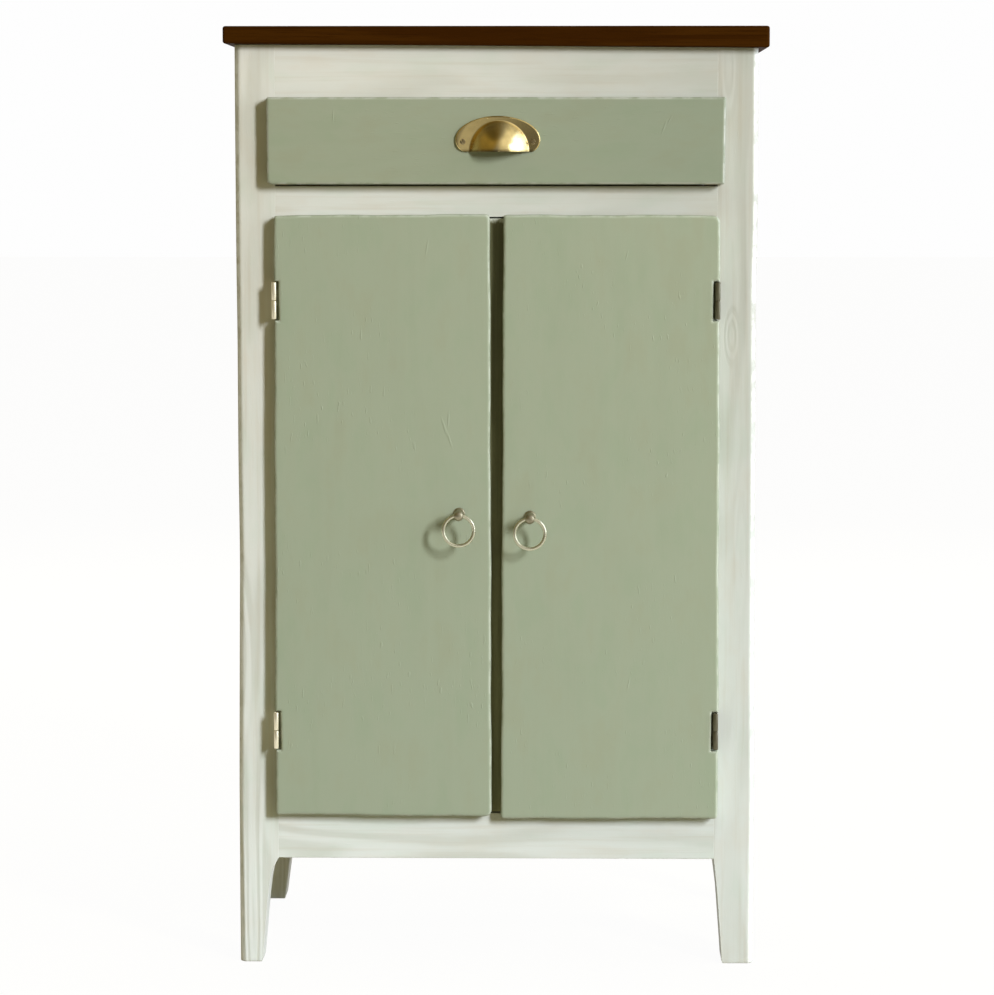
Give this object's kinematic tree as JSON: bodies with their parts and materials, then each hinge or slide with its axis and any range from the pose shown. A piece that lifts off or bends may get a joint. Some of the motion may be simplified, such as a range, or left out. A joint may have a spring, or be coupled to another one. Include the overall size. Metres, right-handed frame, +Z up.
{
  "type": "jam cupboard",
  "caption": "Small painted cupboard on tapered legs, with a dark wooden top, a drawer with a cup pull, and doors with ring pulls on butt hinges.",
  "frame": {"origin": "on the floor, under the centre of the bounding box of the closed cupboard", "axes": "+X to the right seen from the front, the front faces -Y, +Z up"},
  "size_m": [0.545, 0.4176, 0.95],
  "materials": {
    "walnut": "dark stained, oiled",
    "cream_paint": "cream brushed paint, the grain showing faintly",
    "cream_inside": "cream paint, matt",
    "bare_wood": "bare planed softwood",
    "sage_paint": "sage green brushed paint",
    "antique_brass": "aged, half polished",
    "pale_brass": "pale polished",
    "hinge_brass": "satin",
    "screw_steel": "zinc plated",
    "catch_plastic": "off-white"
  },
  "bodies": {
    "cabinet": {"top_board": "walnut", "left_front_post": "cream_paint", "right_front_post": "cream_paint", "left_back_post": "cream_paint", "right_back_post": "cream_paint", "top_rail": "cream_paint", "middle_rail": "cream_paint", "bottom_rail": "cream_paint", "centre_post": "sage_paint", "left_side_panel": "cream_paint", "right_side_panel": "cream_paint", "left_upper_side_rail": "cream_paint", "left_lower_side_rail": "cream_paint", "right_upper_side_rail": "cream_paint", "right_lower_side_rail": "cream_paint", "back_panel": "cream_inside", "upper_back_rail": "cream_paint", "lower_back_rail": "cream_paint", "floor_board": "cream_inside", "shelf": "cream_inside", "left_shelf_cleat": "cream_inside", "right_shelf_cleat": "cream_inside", "left_drawer_runner": "bare_wood", "right_drawer_runner": "bare_wood", "left_kicker": "bare_wood", "right_kicker": "bare_wood", "top_board_screws": "screw_steel", "left_upper_frame_leaf": "hinge_brass", "left_lower_frame_leaf": "hinge_brass", "right_upper_frame_leaf": "hinge_brass", "right_lower_frame_leaf": "hinge_brass", "hinge_pins": "hinge_brass", "frame_leaf_screws": "hinge_brass", "left_catch": "catch_plastic", "right_catch": "catch_plastic"},
    "drawer": {"drawer_front": "sage_paint", "drawer_inner_front": "bare_wood", "drawer_left_side": "bare_wood", "drawer_right_side": "bare_wood", "drawer_back": "bare_wood", "drawer_bottom": "bare_wood", "drawer_front_screws": "screw_steel", "cup_pull": "antique_brass", "cup_pull_screws": "antique_brass"},
    "left_door": {"left_door_panel": "sage_paint", "left_upper_door_leaf": "hinge_brass", "left_lower_door_leaf": "hinge_brass", "left_door_leaf_screws": "hinge_brass", "left_ring_post": "pale_brass", "left_ring_nut": "pale_brass", "left_strike_plate": "screw_steel"},
    "right_door": {"right_door_panel": "sage_paint", "right_upper_door_leaf": "hinge_brass", "right_lower_door_leaf": "hinge_brass", "right_door_leaf_screws": "hinge_brass", "right_ring_post": "pale_brass", "right_ring_nut": "pale_brass", "right_strike_plate": "screw_steel"},
    "left_ring": {"left_ring": "pale_brass"},
    "right_ring": {"right_ring": "pale_brass"}
  },
  "joints": [
    {"name": "drawer_slide", "type": "slide", "parent": "cabinet", "child": "drawer", "axis": [0, -1, 0], "range_m": [0, 0.25]},
    {"name": "left_door_hinge", "type": "hinge", "parent": "cabinet", "child": "left_door", "pos_m": [-0.2221, -0.1781, 0.458], "axis": [0, 0, -1], "range_deg": [0, 180]},
    {"name": "right_door_hinge", "type": "hinge", "parent": "cabinet", "child": "right_door", "pos_m": [0.2221, -0.1781, 0.458], "axis": [0, 0, 1], "range_deg": [0, 180]},
    {"name": "left_ring_swing", "type": "hinge", "parent": "left_door", "child": "left_ring", "pos_m": [-0.0367, -0.2036, 0.463], "axis": [-1, 0, 0], "range_deg": [-52, 232]},
    {"name": "right_ring_swing", "type": "hinge", "parent": "right_door", "child": "right_ring", "pos_m": [0.0345, -0.2036, 0.46], "axis": [-1, 0, 0], "range_deg": [-52, 232]}
  ]
}
